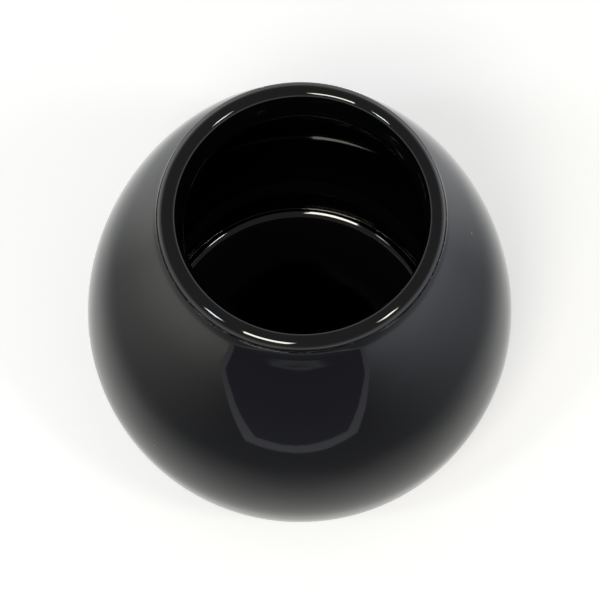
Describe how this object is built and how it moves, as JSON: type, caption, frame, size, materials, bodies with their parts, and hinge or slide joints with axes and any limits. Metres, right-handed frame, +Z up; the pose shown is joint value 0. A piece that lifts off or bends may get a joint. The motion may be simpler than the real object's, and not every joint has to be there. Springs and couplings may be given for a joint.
{
  "type": "ceramic mate gourd cup",
  "caption": "Globe-shaped glazed ceramic gourd cup with a rounded lip round a narrow mouth and a flat standing ring, for mate and other hot drinks.",
  "frame": {"origin": "centre of the foot, on the surface that the cup stands on", "axes": "+Z up along the cup's axis towards the mouth; -Y is the side that faces the viewer"},
  "size_m": [0.1, 0.1, 0.0925],
  "materials": {
    "glaze": "black gloss glaze"
  },
  "bodies": {
    "root": {"gourd_cup": "glaze"}
  },
  "joints": []
}
